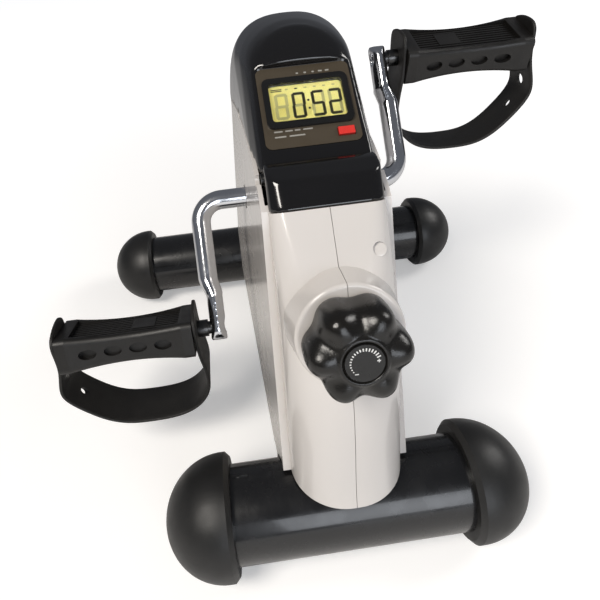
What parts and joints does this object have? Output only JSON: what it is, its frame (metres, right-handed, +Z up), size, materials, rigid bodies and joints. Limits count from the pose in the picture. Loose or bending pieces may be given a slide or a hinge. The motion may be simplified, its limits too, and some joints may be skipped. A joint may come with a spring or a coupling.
{
  "type": "pedal exerciser",
  "caption": "Tabletop or floor pedal exerciser: one-piece crank with strapped pedals, sail-shaped shell with a sloping display console, tension knob, two capped base tubes.",
  "frame": {"origin": "on the floor, under the middle of the base, midway between the two base tubes and on the shell's centre seam", "axes": "+Z up; +X to the right of a user who sits on the -Y side facing the console; +Y away from the user"},
  "size_m": [0.3754, 0.3724, 0.3058],
  "materials": {
    "shell_white": "gloss",
    "hood_black": "gloss",
    "panel_brown": "satin",
    "bezel_black": "gloss",
    "display_window": "clear",
    "display_green": "satin",
    "button_red": "gloss",
    "tube_black": "gloss",
    "cap_rubber": "satin",
    "crank_chrome": "polished",
    "zinc_steel": "satin",
    "bronze": "satin",
    "pedal_black": "satin",
    "strap_black": "matt",
    "knob_black": "satin",
    "label_black": "satin",
    "nylon_white": "matt",
    "frame_black": "satin",
    "board_green": "satin",
    "cell_case": "gloss",
    "felt_grey": "matt",
    "wheel_iron": "machined",
    "magnet_grey": "satin"
  },
  "bodies": {
    "base": {"band_anchor": "frame_black", "base_beam": "frame_black", "battery": "cell_case", "battery_holder": "knob_black", "bearing_housing": "frame_black", "brake_band": "felt_grey", "button_pad": "nylon_white", "circuit_board": "board_green", "console_hood": "hood_black", "console_panel": "panel_brown", "front_left_cap": "cap_rubber", "front_right_cap": "cap_rubber", "front_saddle": "frame_black", "front_saddle_bolts": "zinc_steel", "front_tube": "tube_black", "hood_screws": "zinc_steel", "lcd_bezel": "bezel_black", "lcd_lens": "display_window", "lcd_module": "display_green", "left_crank_bush": "bronze", "left_shell": "shell_white", "rear_left_cap": "cap_rubber", "rear_right_cap": "cap_rubber", "rear_saddle": "frame_black", "rear_saddle_bolts": "zinc_steel", "rear_tube": "tube_black", "right_crank_bush": "bronze", "right_shell": "shell_white", "screw_bush": "nylon_white", "shell_screws": "zinc_steel", "speed_sensor": "board_green", "tension_guide": "frame_black", "upright": "frame_black"},
    "crankset": {"crankshaft": "crank_chrome", "crank_collar": "zinc_steel", "friction_wheel": "wheel_iron", "wheel_magnet": "magnet_grey", "left_spindle": "zinc_steel", "right_spindle": "zinc_steel", "left_spindle_nut": "zinc_steel", "right_spindle_nut": "zinc_steel"},
    "left_pedal": {"left_pedal": "pedal_black", "left_inner_bush": "nylon_white", "left_outer_bush": "nylon_white", "left_strap": "strap_black", "left_strap_peg": "pedal_black"},
    "right_pedal": {"right_pedal": "pedal_black", "right_inner_bush": "nylon_white", "right_outer_bush": "nylon_white", "right_strap": "strap_black", "right_strap_peg": "pedal_black"},
    "knob": {"tension_knob": "knob_black", "knob_label": "label_black", "tension_screw": "zinc_steel", "screw_clip": "zinc_steel"},
    "carriage": {"tension_carriage": "nylon_white"},
    "button": {"mode_button": "button_red"}
  },
  "joints": [
    {"name": "crank_spin", "type": "hinge", "parent": "base", "child": "crankset", "pos_m": [0, -0.002, 0.189], "axis": [1, 0, 0], "continuous": true},
    {"name": "left_pedal_spin", "type": "hinge", "parent": "crankset", "child": "left_pedal", "pos_m": [-0.088, -0.05616, 0.11712], "axis": [1, 0, 0], "continuous": true},
    {"name": "right_pedal_spin", "type": "hinge", "parent": "crankset", "child": "right_pedal", "pos_m": [0.088, 0.05216, 0.26088], "axis": [1, 0, 0], "continuous": true},
    {"name": "knob_turn", "type": "hinge", "parent": "base", "child": "knob", "pos_m": [0, -0.155, 0.1875], "axis": [0, -0.9563, 0.2924], "range_deg": [-1435, 1435]},
    {"name": "carriage_slide", "type": "slide", "parent": "base", "child": "carriage", "axis": [0, -0.9563, 0.2924], "range_m": [-0.005, 0.005]},
    {"name": "button_press", "type": "slide", "parent": "base", "child": "button", "axis": [0, 0.6242, -0.7813], "range_m": [0, 0.0008], "stiffness_N_per_m": 400, "springref_m": -0.0004}
  ],
  "couplings": [
    {"joint": "carriage_slide", "follows": "knob_turn", "m_per_rad": -0.00019894}
  ]
}
